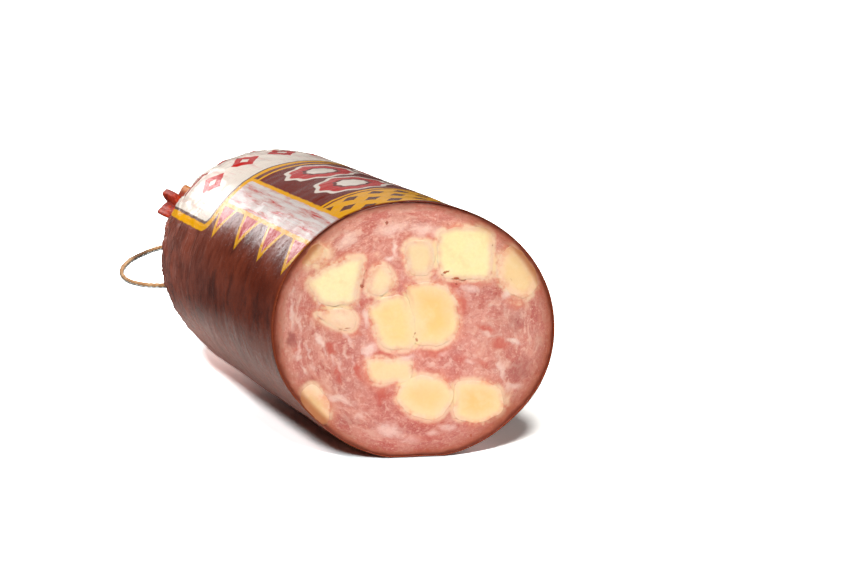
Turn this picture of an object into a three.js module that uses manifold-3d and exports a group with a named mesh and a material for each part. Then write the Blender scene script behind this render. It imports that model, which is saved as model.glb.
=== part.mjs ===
// A cheese sausage: a thick boiled sausage in a printed casing, cut across at one end.
// The casing is gathered, clipped and flared at the other end, where a loop of twine is held.
// Millimetres, +Z up, +Y from the cut towards the clip. The origin is at the middle of the
// underside of the sausage's own box, and the twine lies on the same surface behind the clip.
import * as THREE from 'three';
import { mergeVertices } from 'three/addons/utils/BufferGeometryUtils.js';
import Module from 'manifold-3d';

// The round of the sausage
const HALF_WIDTH = 35.5;
const HALF_HEIGHT = 34;
const SAG = 0.65; // how far the round would reach below the surface it lies flat on
// where the round stands out from a true ellipse: angle from +X, spread in degrees, share of the radius
const BULGES = [
  [113, 22, 0.015],
  [221, 17, -0.025],
  [313, 16, -0.01],
];

// Its length, measured along the axis from the middle of the cut
const DOME_START = 92;
const DOME_LENGTH = 46.6;
const DOME_POWER = 2.13;
const CONE_START = 120;
const NECK_START = 163;
const NECK_END = 168.6;
const TAIL_END = 196;

// The cut, which crosses the sausage askew
const CUT_YAW = THREE.MathUtils.degToRad(-18);
const CUT_LEAN = THREE.MathUtils.degToRad(2.75);
const CUT_FADE = 60;

// Casing and filling
const WALL = 0.6;
const GAP = 0.3;
const MEAT_END = 146;
const CONE_WALL = 0.075; // how much thicker the gathered casing grows for each step along the cone
const NECK_RADIUS = 3.7;
const TAIL_RADIUS = 5.2;
const LIP = 1.6; // how far the torn edge of the tail wanders
const PLEATS = 10;
const TAIL_FOLDS = 6;

// Cheese cubes
const CUBE_DEPTH = 12.5;
const CUBE_ROUND = 1.6;

// Clip and twine
const CLIP_HOLE = 4.3;
const CLIP_HALF_WIDTH = 6.6;
const CLIP_HALF_HEIGHT = 5.7;
const CLIP_THICKNESS = 2.6;
const CLIP_EDGE = 0.5;
const CLIP_Y = 165.7;
const TWINE_RADIUS = 0.8;
const TWINE_STEPS = 78;

const MATERIALS = {
  casing: { color: '#7c3a26', roughness: 0.3, metalness: 0 },
  meat: { color: '#dd9a85', roughness: 0.5, metalness: 0 },
  cheese: { color: '#fbe3a3', roughness: 0.45, metalness: 0 },
  clip: { color: '#c3c5c8', roughness: 0.35, metalness: 1 },
  twine: { color: '#cfa887', roughness: 0.9, metalness: 0 },
};

const { lerp, smoothstep } = THREE.MathUtils;

// ---------------------------------------------------------------- solids

const wasm = await Module();
wasm.setup();

function toManifold(geometry) {
  const bare = geometry.clone();
  bare.deleteAttribute('normal');
  bare.deleteAttribute('uv');
  const merged = mergeVertices(bare, 1e-4);
  const vertProperties = new Float32Array(merged.attributes.position.array);
  const triVerts = new Uint32Array(merged.index.array);
  return new wasm.Manifold(new wasm.Mesh({ numProp: 3, vertProperties, triVerts }));
}

function toGeometry(solid) {
  const mesh = solid.getMesh();
  const geometry = new THREE.BufferGeometry();
  geometry.setAttribute('position', new THREE.BufferAttribute(mesh.vertProperties, 3));
  geometry.setIndex(new THREE.BufferAttribute(mesh.triVerts, 1));
  geometry.computeVertexNormals();
  return geometry;
}

// A closed body through rings of equal counts, each going round the Y axis from +X up over +Z,
// with its first and last ring closed by a fan about the ring's own middle.
function loft(rings) {
  const count = rings[0].length;
  const points = rings.flat();
  const index = [];
  for (let row = 0; row + 1 < rings.length; row += 1) {
    for (let i = 0; i < count; i += 1) {
      const next = (i + 1) % count;
      const a = row * count + i;
      const b = row * count + next;
      index.push(a, a + count, b);
      index.push(b, a + count, b + count);
    }
  }
  const addFan = (row, facesFront) => {
    const middle = new THREE.Vector3();
    rings[row].forEach((point) => middle.addScaledVector(point, 1 / count));
    points.push(middle);
    for (let i = 0; i < count; i += 1) {
      const a = row * count + i;
      const b = row * count + ((i + 1) % count);
      if (facesFront) index.push(points.length - 1, a, b);
      else index.push(points.length - 1, b, a);
    }
  };
  addFan(0, true);
  addFan(rings.length - 1, false);
  const geometry = new THREE.BufferGeometry();
  geometry.setFromPoints(points);
  geometry.setIndex(index);
  return geometry;
}

// ---------------------------------------------------------------- the sausage's form

// How far the cut lies along Y where it crosses the point (x, z)
function cutY(x, z) {
  return x * Math.tan(CUT_YAW) + (z - HALF_HEIGHT) * Math.tan(CUT_LEAN);
}

function bulge(angle) {
  const degrees = THREE.MathUtils.radToDeg(angle);
  const swell = ([at, spread, by]) => by * Math.exp(-(((degrees - at) / spread) ** 2));
  return BULGES.reduce((sum, each) => sum + swell(each), 1);
}

// The share of the full round that is left at a distance along the axis
function girth(y) {
  const dome = (at) => (1 - ((at - DOME_START) / DOME_LENGTH) ** DOME_POWER) ** (1 / DOME_POWER);
  if (y <= DOME_START) return 1;
  if (y <= CONE_START) return dome(y);
  const step = 0.01;
  const span = NECK_START - CONE_START;
  const slopeIn = ((dome(CONE_START) - dome(CONE_START - step)) / step) * span;
  const slopeOut = -0.012 * span;
  const t = Math.min((y - CONE_START) / span, 1);
  const from = dome(CONE_START);
  const to = NECK_RADIUS / HALF_HEIGHT;
  return (
    (2 * t ** 3 - 3 * t ** 2 + 1) * from +
    (t ** 3 - 2 * t ** 2 + t) * slopeIn +
    (3 * t ** 2 - 2 * t ** 3) * to +
    (t ** 3 - t ** 2) * slopeOut
  );
}

// The gathers of the casing: a wave round the girth, irregular as hand-size folds are
function pleat(angle) {
  const drift = 0.9 * Math.sin(2 * angle + 0.7) + 0.5 * Math.sin(3 * angle);
  return Math.sin(PLEATS * angle + drift) * (0.75 + 0.25 * Math.sin(3 * angle + 1.2));
}

function tailFold(angle) {
  const drift = 0.5 + 0.25 * Math.sin(angle);
  return Math.sin(TAIL_FOLDS * angle + drift) * (0.8 + 0.2 * Math.sin(2 * angle));
}

// One ring of the body's skin at a place along the axis, drawn in from the outside by inset
function bodyRing(y, count, inset, folding = 0) {
  const ring = [];
  const k = girth(y);
  for (let i = 0; i < count; i += 1) {
    const angle = (i / count) * 2 * Math.PI;
    const fold = bulge(angle) * (1 + folding * pleat(angle));
    const x = Math.cos(angle) * (HALF_WIDTH * k - inset) * fold;
    const reach = Math.sin(angle) > 0 ? HALF_HEIGHT : HALF_HEIGHT + SAG;
    const z = Math.max(HALF_HEIGHT + Math.sin(angle) * (reach * k - inset) * fold, inset);
    const skew = cutY(x, z) * (1 - smoothstep(y, 0, CUT_FADE));
    ring.push(new THREE.Vector3(x, y + skew, z));
  }
  return ring;
}

// One ring of the gathered neck and of the flared tail behind the clip
function tailRing(y, count) {
  const t = smoothstep(y, NECK_END, TAIL_END - 8);
  const radius = lerp(NECK_RADIUS, TAIL_RADIUS, t);
  const depth = lerp(0.06, 0.3, t);
  const ring = [];
  for (let i = 0; i < count; i += 1) {
    const angle = (i / count) * 2 * Math.PI;
    const r = radius * (1 + depth * tailFold(angle));
    const ragged = LIP * Math.sin(3 * angle + 0.5) * smoothstep(y, TAIL_END - 7, TAIL_END - LIP);
    ring.push(new THREE.Vector3(r * Math.cos(angle), y + ragged, HALF_HEIGHT + r * Math.sin(angle)));
  }
  return ring;
}

// How deep the gathers are, as a share of the radius: none on the body, less again at the clip
function foldDepth(y) {
  const deepening = smoothstep(y, CONE_START, NECK_START - 12);
  const tightening = smoothstep(y, NECK_START - 11, NECK_START);
  return 0.15 * deepening - 0.09 * tightening;
}

// The space inside the casing, or the filling itself when it is drawn in by the gap as well
function fillingRings(inset, frontLift, end) {
  const around = 40;
  const places = [0, 45, DOME_START, 104, 114, 123, 131, 139, end];
  const rings = places.map((y) => bodyRing(y, around, inset + CONE_WALL * Math.max(y - CONE_START, 0)));
  rings[0].forEach((point) => { point.y -= frontLift; });
  return rings;
}

function makeCasing() {
  const around = 60;
  const bodyPlaces = [0, 22, 45, 70, DOME_START, 101, 108, 114, CONE_START];
  for (let y = CONE_START + 6; y < NECK_START; y += 6.2) bodyPlaces.push(y);
  const tailPlaces = [NECK_START, NECK_END, 172, 176, 180.5, 185, 189.5, TAIL_END - LIP];
  const rings = bodyPlaces.map((y) => bodyRing(y, around, 0, foldDepth(y)));
  tailPlaces.forEach((y) => rings.push(tailRing(y, around)));
  // the bundled end of the tail is hollowed a little between its lips
  const inwards = (p) => new THREE.Vector3(p.x * 0.6, p.y - 2.5, lerp(HALF_HEIGHT, p.z, 0.6));
  rings.push(rings.at(-1).map(inwards));
  const skin = toManifold(loft(rings));
  const space = toManifold(loft(fillingRings(WALL, 6, MEAT_END + GAP)));
  return toGeometry(skin.subtract(space));
}

// ---------------------------------------------------------------- cheese

// The cubes that the cut has opened. Corners are (across, up) on the cut face from its middle.
const CUBES = {
  top_right: [[7.3, 26.4], [20.4, 26.6], [20.4, 13.6], [8, 13.8], [6.4, 19.6]],
  top_middle: [[-2.4, 22.4], [0.6, 23.6], [5.2, 22.9], [5.2, 18.6], [4, 14.8], [-0.4, 14.4]],
  left: [[-13, 20.2], [-20.2, 18.4], [-27.6, 14], [-24.4, 7.8], [-15.6, 7.8]],
  small: [[-10, 17.2], [-7.4, 17.2], [-4.6, 12.4], [-8, 9.9], [-12.5, 10.3]],
  middle_left: [[-12.2, 6.3], [-8, 8.5], [-2.6, 9.8], [-0.2, 3.4], [-0.2, -4.5], [-8.4, -4.5]],
  middle_right: [[-2.2, 11.6], [3, 12.7], [10, 10.4], [12, 0.8], [8.4, -3.9], [0.2, -3.7], [0.2, 3]],
  right_edge: [[25.6, 22.4], [32.8, 12.9], [28.8, 7.4], [21.6, 12.2], [22.2, 16.4]],
  left_slab: [[-26.2, 5.3], [-19.5, 6.2], [-15.4, 5.1], [-16.8, 0.3], [-20.5, 1.7]],
  lower_small: [[-13, -7], [-6, -7.8], [-1, -8.2], [-1.8, -13.4], [-11.8, -13.4]],
  bottom_middle: [[-5.4, -18.8], [-3.4, -13.6], [2, -12.4], [8.4, -13.6], [10, -18], [5.4, -24.2], [0, -23]],
  bottom_right: [[10.9, -14.2], [18.4, -14.3], [23.2, -17.4], [22.6, -23], [16, -25.4], [10, -23.7]],
  lower_left: [[-29, -14.4], [-23.6, -13.8], [-22.4, -20.2], [-24, -24.2], [-29.4, -18.4]],
  upper_left: [[-28.6, 20], [-24.9, 24.2], [-22.9, 21.6], [-23.6, 19]],
};

// A cube's outline with every corner rounded, widened all round by grow, as points (x, z)
function cubeOutline(corners, grow) {
  const middle = new THREE.Vector2();
  const points = corners.map(([across, up]) => new THREE.Vector2(across * Math.cos(CUT_YAW), up));
  if (THREE.ShapeUtils.isClockWise(points)) points.reverse();
  points.forEach((point) => middle.addScaledVector(point, 1 / points.length));
  const outline = [];
  points.forEach((corner, i) => {
    const before = points.at(i - 1);
    const after = points[(i + 1) % points.length];
    const toBefore = corner.distanceTo(before);
    const toAfter = corner.distanceTo(after);
    const bite = Math.min(CUBE_ROUND, 0.4 * toBefore, 0.4 * toAfter);
    const start = corner.clone().lerp(before, bite / toBefore);
    const end = corner.clone().lerp(after, bite / toAfter);
    const knee = start.clone().add(end).addScaledVector(corner, 2).divideScalar(4);
    [start, knee, end].forEach((point) => {
      const away = point.sub(middle);
      outline.push(away.setLength(away.length() + grow).add(middle));
    });
  });
  return { outline, middle };
}

// A cube reaches in along the sausage's axis from the cut, and its inner end is rounded off
function makeCube(corners, grow, frontLift) {
  const { outline, middle } = cubeOutline(corners, grow);
  const place = (scale, yOf) => outline.map((point) => {
    const x = lerp(middle.x, point.x, scale);
    const z = HALF_HEIGHT + lerp(middle.y, point.y, scale);
    return new THREE.Vector3(x, yOf(x, z), z);
  });
  const back = cutY(middle.x, middle.y + HALF_HEIGHT) + CUBE_DEPTH + grow;
  return loft([
    place(1, (x, z) => cutY(x, z) - frontLift),
    place(1, () => back - CUBE_ROUND),
    place(0.8, () => back),
  ]);
}

function makeMeat() {
  const whole = toManifold(loft(fillingRings(WALL + GAP, 0, MEAT_END)));
  const pockets = Object.values(CUBES).map((corners) => toManifold(makeCube(corners, GAP, 3)));
  return toGeometry(pockets.reduce((meat, pocket) => meat.subtract(pocket), whole));
}

// ---------------------------------------------------------------- clip and twine

// A soft metal wire pressed round the neck into an oval ring
function makeClip() {
  const oval = new THREE.Shape();
  oval.absellipse(0, 0, CLIP_HALF_WIDTH - CLIP_EDGE, CLIP_HALF_HEIGHT - CLIP_EDGE, 0, 2 * Math.PI);
  const hole = new THREE.Path();
  hole.absarc(0, 0, CLIP_HOLE + CLIP_EDGE, 0, 2 * Math.PI, true);
  oval.holes.push(hole);
  const depth = CLIP_THICKNESS - 2 * CLIP_EDGE;
  const bevel = { bevelThickness: CLIP_EDGE, bevelSize: CLIP_EDGE, bevelSegments: 1 };
  const ring = new THREE.ExtrudeGeometry(oval, { depth, steps: 1, curveSegments: 12, ...bevel });
  ring.rotateX(Math.PI / 2);
  ring.translate(0, CLIP_Y + depth / 2, HALF_HEIGHT);
  return ring;
}

// The loop of twine: out of the clip, down to the surface, round and back into the clip
const TWINE_FACE = CLIP_Y + CLIP_THICKNESS / 2 + GAP;
const TWINE_ROUTE = [
  [3.2, TWINE_FACE, 28.9],
  [3.6, 171.4, 28.4],
  [5.2, 176.5, 25.2],
  [7.8, 181.6, 18],
  [10.4, 186.8, 9],
  [12, 193, 2.8],
  [11.6, 201, 1.1],
  [9.6, 211, 1.1],
  [5.4, 219.6, 1.1],
  [-2.6, 225.2, 1.1],
  [-6.2, 233.4, 1.1],
  [-5.6, 246, 1.1],
  [0.3, 262, 1.1],
  [10.6, 277.4, 1.1],
  [24.5, 289, 1.1],
  [40, 289.6, 1.1],
  [51.6, 279, 1.1],
  [55.4, 262.6, 1.1],
  [51.2, 246, 1.1],
  [42.4, 230, 1.1],
  [32.6, 214.6, 1.1],
  [25, 200.4, 2.4],
  [20, 190, 9.4],
  [14.6, 182.4, 18.6],
  [9.4, 176.6, 26],
  [6.1, 171.6, 29.6],
  [5.3, TWINE_FACE, 30.6],
];

function makeTwine() {
  const points = TWINE_ROUTE.map((place) => new THREE.Vector3(...place));
  const route = new THREE.CatmullRomCurve3(points, false, 'centripetal');
  const section = new THREE.Shape();
  for (let i = 0; i < 8; i += 1) {
    const angle = ((i + 0.5) / 8) * 2 * Math.PI;
    const x = TWINE_RADIUS * Math.cos(angle);
    const y = TWINE_RADIUS * Math.sin(angle);
    if (i === 0) section.moveTo(x, y);
    else section.lineTo(x, y);
  }
  return new THREE.ExtrudeGeometry(section, { steps: TWINE_STEPS, extrudePath: route });
}

// ---------------------------------------------------------------- assembly

const sausage = new THREE.Group();

function addPart(name, geometry, finish) {
  const mesh = new THREE.Mesh(geometry, new THREE.MeshStandardMaterial(MATERIALS[finish]));
  mesh.name = name;
  sausage.add(mesh);
  return mesh;
}

addPart('casing', makeCasing(), 'casing');
addPart('meat', makeMeat(), 'meat');
Object.entries(CUBES).forEach(([name, corners]) => {
  addPart(`cheese_${name}`, makeCube(corners, 0, 0), 'cheese');
});
addPart('clip', makeClip(), 'clip');

// The frame's origin is the middle of the underside of everything but the twine
const box = new THREE.Box3().setFromObject(sausage);
const centre = box.getCenter(new THREE.Vector3());
addPart('twine', makeTwine(), 'twine');
sausage.children.forEach((mesh) => mesh.position.set(-centre.x, -centre.y, -box.min.z));

export default sausage;
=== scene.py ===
import math
import bmesh
import bpy
import numpy as np
from mathutils import Matrix, Vector, noise


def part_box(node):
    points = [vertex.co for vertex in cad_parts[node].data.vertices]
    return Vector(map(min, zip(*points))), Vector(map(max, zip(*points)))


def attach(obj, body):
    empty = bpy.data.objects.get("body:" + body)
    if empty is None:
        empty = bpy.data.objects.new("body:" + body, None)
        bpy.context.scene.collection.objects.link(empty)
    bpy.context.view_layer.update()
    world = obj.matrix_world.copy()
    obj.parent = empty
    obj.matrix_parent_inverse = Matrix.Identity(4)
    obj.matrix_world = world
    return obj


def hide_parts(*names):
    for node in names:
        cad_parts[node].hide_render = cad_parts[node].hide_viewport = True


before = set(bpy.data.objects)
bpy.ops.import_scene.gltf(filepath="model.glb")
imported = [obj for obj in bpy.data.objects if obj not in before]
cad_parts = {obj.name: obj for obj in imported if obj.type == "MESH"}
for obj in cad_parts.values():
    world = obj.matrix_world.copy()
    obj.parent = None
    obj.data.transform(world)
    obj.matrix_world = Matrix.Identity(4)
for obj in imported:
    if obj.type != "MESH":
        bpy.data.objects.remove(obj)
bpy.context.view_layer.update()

# ---------------------------------------------------------------- view
# The sausage lies on a table with its cut end towards the viewer, who stands a little to
# the left of it and looks slightly down.
MM = 0.001
AXIS_HEIGHT = 34 * MM
CUT_TO_TAIL = 196 * MM
CAMERA_FROM_CUT = (-215.2 * MM, -461.0 * MM, 126.1 * MM)
CAMERA_TURN = (math.radians(77.43), 0, math.radians(-25.33))
CAMERA_LENS = 84.7

cut_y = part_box("casing")[1].y - CUT_TO_TAIL
cut_middle = Vector((0, cut_y, AXIS_HEIGHT))

scene = bpy.context.scene
camera_data = bpy.data.cameras.new("camera")
camera_data.lens = CAMERA_LENS
camera = bpy.data.objects.new("camera", camera_data)
camera.location = cut_middle + Vector(CAMERA_FROM_CUT)
camera.rotation_euler = CAMERA_TURN
scene.collection.objects.link(camera)
bpy.context.scene.camera = camera
scene.view_settings.view_transform = "Standard"

# ---------------------------------------------------------------- twine
# The hanging loop: a twisted twine of three yarns, held by the clip at both ends. It lies
# on the table behind the sausage, and one stretch of it is darker brown.
YARNS = 3
YARN_RADIUS = 0.43 * MM
YARN_OFFSET = 0.4 * MM
YARN_LOOSENESS = 0.12
TWINE_LAY = 6.5 * MM
TWINE_STEP = 0.55 * MM
CURVE_STEPS = 40
CLIP_FACE = 167.3
DARK_STRETCH_SPOT = (10.6 * MM, cut_y + 278 * MM, 1.1 * MM)
# the route in millimetres: right of the axis, behind the cut, and above the table
TWINE_ROUTE = [
    (3.2, CLIP_FACE, 28.9), (3.6, 171.4, 28.4), (5.2, 176.5, 25.2), (7.8, 181.6, 18),
    (10.4, 186.8, 9), (12, 193, 2.8), (11.6, 201, 1.1), (9.6, 211, 1.1), (5.4, 219.6, 1.1),
    (-2.6, 225.2, 1.1), (-6.2, 233.4, 1.1), (-5.6, 246, 1.1), (0.3, 262, 1.1), (10.6, 277.4, 1.1),
    (24.5, 289, 1.1), (40, 289.6, 1.1), (51.6, 279, 1.1), (55.4, 262.6, 1.1), (51.2, 246, 1.1),
    (42.4, 230, 1.1), (32.6, 214.6, 1.1), (25, 200.4, 2.4), (20, 190, 9.4), (14.6, 182.4, 18.6),
    (9.4, 176.6, 26), (6.1, 171.6, 29.6), (5.3, CLIP_FACE, 30.6),
]


def smooth_route(points, step):
    """Evenly spaced points on the centripetal curve through the route's points."""
    ends = [points[0] * 2 - points[1], *points, points[-1] * 2 - points[-2]]
    fine = []
    for before, start, end, after in zip(ends, ends[1:], ends[2:], ends[3:]):
        gaps = [max((b - a).length, 1e-9) ** 0.5 for a, b in ((before, start), (start, end), (end, after))]
        leave = ((start - before) / gaps[0] - (end - before) / (gaps[0] + gaps[1])
                 + (end - start) / gaps[1]) * gaps[1]
        reach = ((end - start) / gaps[1] - (after - start) / (gaps[1] + gaps[2])
                 + (after - end) / gaps[2]) * gaps[1]
        for i in range(CURVE_STEPS):
            t = i / CURVE_STEPS
            fine.append(start * (2 * t**3 - 3 * t**2 + 1) + leave * (t**3 - 2 * t**2 + t)
                        + end * (3 * t**2 - 2 * t**3) + reach * (t**3 - t**2))
    fine.append(points[-1])
    far = np.concatenate([[0], np.cumsum([(b - a).length for a, b in zip(fine, fine[1:])])])
    even = np.linspace(0, far[-1], round(far[-1] / step) + 1)
    columns = [np.interp(even, far, [p[i] for p in fine]) for i in range(3)]
    return [Vector(p) for p in zip(*columns)], far[-1]


twine_points = [Vector((x * MM, cut_y + y * MM, z * MM)) for x, y, z in TWINE_ROUTE]
twine_line, twine_length = smooth_route(twine_points, TWINE_STEP)

twine_curve = bpy.data.curves.new("twine_yarns", "CURVE")
twine_curve.dimensions = "3D"
twine_curve.bevel_depth = YARN_RADIUS
twine_curve.bevel_resolution = 2
twine_curve.use_fill_caps = True
for yarn in range(YARNS):
    spline = twine_curve.splines.new("POLY")
    spline.points.add(len(twine_line) - 1)
    for i, place in enumerate(twine_line):
        ahead = (twine_line[min(i + 1, len(twine_line) - 1)] - twine_line[max(i - 1, 0)]).normalized()
        across = ahead.cross(Vector((0.3, 0.2, 1))).normalized()
        above = across.cross(ahead)
        turn = 2 * math.pi * (i * TWINE_STEP / TWINE_LAY + yarn / YARNS)
        offset = (across * math.cos(turn) + above * math.sin(turn)) * YARN_OFFSET
        loose = 1 + YARN_LOOSENESS * noise.noise(place * 160 + Vector((yarn * 7, 0, 0)))
        spline.points[i].co = (*(place + offset * loose), 1)
twine_shape = bpy.data.objects.new("twine_shape", twine_curve)
scene.collection.objects.link(twine_shape)
twine_mesh = bpy.data.meshes.new_from_object(
    twine_shape.evaluated_get(bpy.context.evaluated_depsgraph_get()))
bpy.data.objects.remove(twine_shape)


def srgb(red, green, blue):
    """A colour as a screen shows it, 0 to 255, made linear for a shader."""
    linear = lambda c: c / 12.92 if c <= 0.04045 else ((c + 0.055) / 1.055) ** 2.4
    return (*(linear(c / 255) for c in (red, green, blue)), 1.0)


# the helpers for shaders work on `tree`, the node tree of the material at hand
def put_into(node, inputs):
    """Numbers, colours or sockets put into a node; a colour of three parts is a screen's."""
    for name, value in inputs.items():
        socket = node.inputs[name]
        if isinstance(value, bpy.types.NodeSocket):
            tree.links.new(value, socket)
        elif socket.type == "RGBA" and len(value) == 3:
            socket.default_value = srgb(*value)
        else:
            socket.default_value = value


def add_node(kind, inputs=None, **settings):
    """A node in the tree at hand, with its settings and inputs."""
    node = tree.nodes.new(kind)
    for name, value in settings.items():
        setattr(node, name, value)
    put_into(node, inputs or {})
    return node


def new_material(name, **constants):
    """A material, its tree and its Principled shader, with the shader's plain inputs set."""
    material = bpy.data.materials.new(name)
    material.use_nodes = True
    shader = material.node_tree.nodes["Principled BSDF"]
    put_into(shader, {socket.replace("_", " "): value for socket, value in constants.items()})
    return material, material.node_tree, shader


def maths(kind):
    """A function that puts its numbers and sockets through one kind of arithmetic."""
    return lambda *values: add_node("ShaderNodeMath", dict(enumerate(values)), operation=kind).outputs[0]


times = maths("MULTIPLY")


def ramp(value, low, high, to_low=0.0, to_high=1.0):
    """The value's stretch from low to high, eased, spread over to_low and to_high."""
    inputs = {"Value": value, "From Min": low, "From Max": high, "To Min": to_low, "To Max": to_high}
    return add_node("ShaderNodeMapRange", inputs, interpolation_type="SMOOTHSTEP").outputs[0]


def mix(share, first, second, blend="MIX"):
    """A share of the second colour over the first."""
    inputs = {0: share, 6: first, 7: second}
    return add_node("ShaderNodeMix", inputs, data_type="RGBA", blend_type=blend).outputs[2]


def tinted(colour, *layers):
    """The colour under tints, each (tint, value, value at no share, value at full share, share)."""
    for tint, value, low, high, share in layers:
        colour = mix(ramp(value, low, high, 0.0, share), colour, tint)
    return colour


def noise_value(vector, scale, detail=2.0, roughness=0.5, distortion=0.0):
    inputs = {"Vector": vector, "Scale": scale, "Detail": detail, "Roughness": roughness,
              "Distortion": distortion}
    return add_node("ShaderNodeTexNoise", inputs).outputs["Fac"]


def bumps(*layers):
    """The normal of a surface with layers of relief, each (height, millimetres, strength)."""
    below = {}
    for height, millimetres, strength in layers:
        inputs = {"Height": height, "Distance": millimetres * MM, "Strength": strength, **below}
        below = {"Normal": add_node("ShaderNodeBump", inputs).outputs["Normal"]}
    return below["Normal"]


def object_place():
    return add_node("ShaderNodeTexCoord").outputs["Object"]


def add_object(name, mesh, material):
    """The mesh as a smooth-shaded object at the origin."""
    mesh.name = name
    mesh.materials.clear()
    mesh.materials.append(material)
    mesh.shade_smooth()
    piece = bpy.data.objects.new(name, mesh)
    scene.collection.objects.link(piece)
    return piece


twine_material, tree, shader = new_material("twine_fibre", Roughness=0.85, Sheen_Weight=0.25)
place = object_place()
fibre = noise_value(place, 2600, 3)
streak = noise_value(place, 420, 2)
from_dark_stretch = add_node("ShaderNodeVectorMath", {0: place, 1: DARK_STRETCH_SPOT}, operation="DISTANCE")
dark_stretch = ramp(from_dark_stretch.outputs["Value"], 4 * MM, 11 * MM, 1.0, 0.0)
colour = mix(ramp(streak, 0.35, 0.7), (202, 146, 94), (230, 184, 134))
colour = tinted(colour, ((158, 102, 58), fibre, 0.4, 0.8, 0.4))
# one stretch of the loop is darker brown
colour = mix(times(dark_stretch, 0.75), colour, (104, 62, 36))
put_into(shader, {"Base Color": colour, "Normal": bumps((fibre, 0.12, 0.6))})

twine = add_object("twine_loop", twine_mesh, twine_material)
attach(twine, "root")
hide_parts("twine")

# ---------------------------------------------------------------- table and light
# A plain white table that runs out of sight, under two lamps from the front and the left
# and weak ones from the right and from behind. In what the skin mirrors, only the part of
# the table about the sausage is bright, and a box and a panel behind it.
TABLE_HALF = 2.6
TABLE_DROP = 0.2 * MM
LAMP_ANGLE = math.radians(9)

minus, size_of = map(maths, ("SUBTRACT", "ABSOLUTE"))


def object_from(name, bm, material):
    """The finished bmesh as an object."""
    mesh = bpy.data.meshes.new(name)
    bm.to_mesh(mesh)
    bm.free()
    return add_object(name, mesh, material)


def axes(vector):
    return add_node("ShaderNodeSeparateXYZ", {"Vector": vector}).outputs


floor_mesh = bmesh.new()
bmesh.ops.create_grid(floor_mesh, x_segments=1, y_segments=1, size=TABLE_HALF)
floor_material, tree, shader = new_material("white_table", Roughness=0.7, Specular_IOR_Level=0.1)
x, y, _ = axes(object_place())
# painted light: in what the skin mirrors, the table is bright only in a strip about the sausage and dark
# further off
aside = ramp(size_of(x), 36 * MM, 95 * MM, 1.0, 0.0)
behind = ramp(y, 30 * MM, 100 * MM)
bright = times(aside, minus(1.0, behind))
mirrored = mix(bright, (0.05, 0.05, 0.05, 1), (0.7, 0.57, 0.52, 1))
# the table as it is seen carries painted shadow: darker where the sausage touches it, paler behind it, and
# darker on its right, where its shadows fall
contact_shadow_paint = ramp(x, -23 * MM, -16.5 * MM)
for axis, low, high in ((x, 20, 5), (y, -112, -98), (y, 5, -30)):
    contact_shadow_paint = times(contact_shadow_paint, ramp(axis, low * MM, high * MM))
pale = mix(contact_shadow_paint, (2.3, 2.35, 2.36, 1), (1.0, 1.12, 1.14, 1))
pale = tinted(pale, ((4.2, 4.5, 4.5, 1), y, -45 * MM, 45 * MM, 1),
              ((1.9, 1.9, 1.82, 1), x, 16 * MM, 30 * MM, 1))
seen = add_node("ShaderNodeLightPath").outputs["Is Camera Ray"]
put_into(shader, {"Base Color": mix(seen, mirrored, pale)})
floor = object_from("table", floor_mesh, floor_material)
floor.data.transform(Matrix.Translation((0, 0, -TABLE_DROP)))

world = bpy.data.worlds.new("studio")
world.use_nodes = True
tree = world.node_tree
seen = add_node("ShaderNodeLightPath").outputs["Is Camera Ray"]
put_into(tree.nodes["Background"], {"Color": (1, 1, 1, 1), "Strength": ramp(seen, 0.0, 1.0, 0.005, 1.0)})
scene.world = world


def add_light(name, kind, position, power, towards=None, **settings):
    """A light that faces the middle of the table, or that points the way it is told."""
    data = bpy.data.lights.new(name, kind)
    data.energy = power
    for setting, value in settings.items():
        setattr(data, setting, value)
    light = bpy.data.objects.new(name, data)
    light.location = position
    facing = Vector(towards) if towards else -Vector(position)
    light.rotation_euler = facing.to_track_quat("-Z", "Y").to_euler()
    scene.collection.objects.link(light)
    return light


def add_panel(name, position, power, width, height):
    return add_light(name, "AREA", position, power, shape="RECTANGLE", size=width, size_y=height)


add_light("left_lamp", "SUN", (-0.66, -0.87, 1.0), 1.9, angle=LAMP_ANGLE)
add_light("front_lamp", "SUN", (-0.24, -0.8, 1.0), 2.1, angle=LAMP_ANGLE)
add_panel("right_fill", (1.05, -0.4, 0.5), 2.2, 0.8, 0.6)
add_panel("back_box", (-0.24, 1.08, 0.41), 1.4, 0.32, 0.2).visible_diffuse = False
add_panel("back_panel", (0.2, 1.25, 0.42), 0.8, 1.5, 0.36).visible_diffuse = False
add_panel("right_glow", (1.0, 0.75, 0.55), 1.2, 0.8, 0.6).visible_glossy = False
add_light("kicker", "SPOT", (-0.5, 0.24, 0.08), 11, (0.47, -0.19, -0.035), spot_size=math.radians(16),
          spot_blend=1, shadow_soft_size=0.03)

# ---------------------------------------------------------------- casing
# The printed skin: a thin film pressed into a thick round by its filling, cut off askew at
# the front, drawn into pleats towards the clip and flared behind it. One continuous tube.
HALF_WIDTH = 35.5 * MM
HALF_HEIGHT = 34 * MM
SAG = 0.65 * MM
BULGES = [(113, 22, 0.015), (221, 17, -0.025), (313, 16, -0.01)]
DOME_START = 92 * MM
DOME_LENGTH = 46.6 * MM
DOME_POWER = 2.13
CONE_START = 120 * MM
NECK_START = 163 * MM
NECK_END = 168.6 * MM
NECK_RADIUS = 3.7 * MM
TAIL_START = 188 * MM
TAIL_RADIUS = 5.7 * MM
TAIL_LIFT = 1.3 * MM
LIP = 1.6 * MM
CUT_YAW = math.radians(-18)
CUT_LEAN = math.radians(2.75)
CUT_FADE = 60 * MM
PLEATS = 10
MINOR_FOLDS = 23
FINE_FOLDS = 41
TAIL_FOLDS = 6
TAIL_CREASES = 13
NECK_SLOPE = -12
FILM = 0.3 * MM
GIRTH_LENGTH = 218.3 * MM
CASING_ROUND = 288
CASING_ALONG = 262
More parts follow.
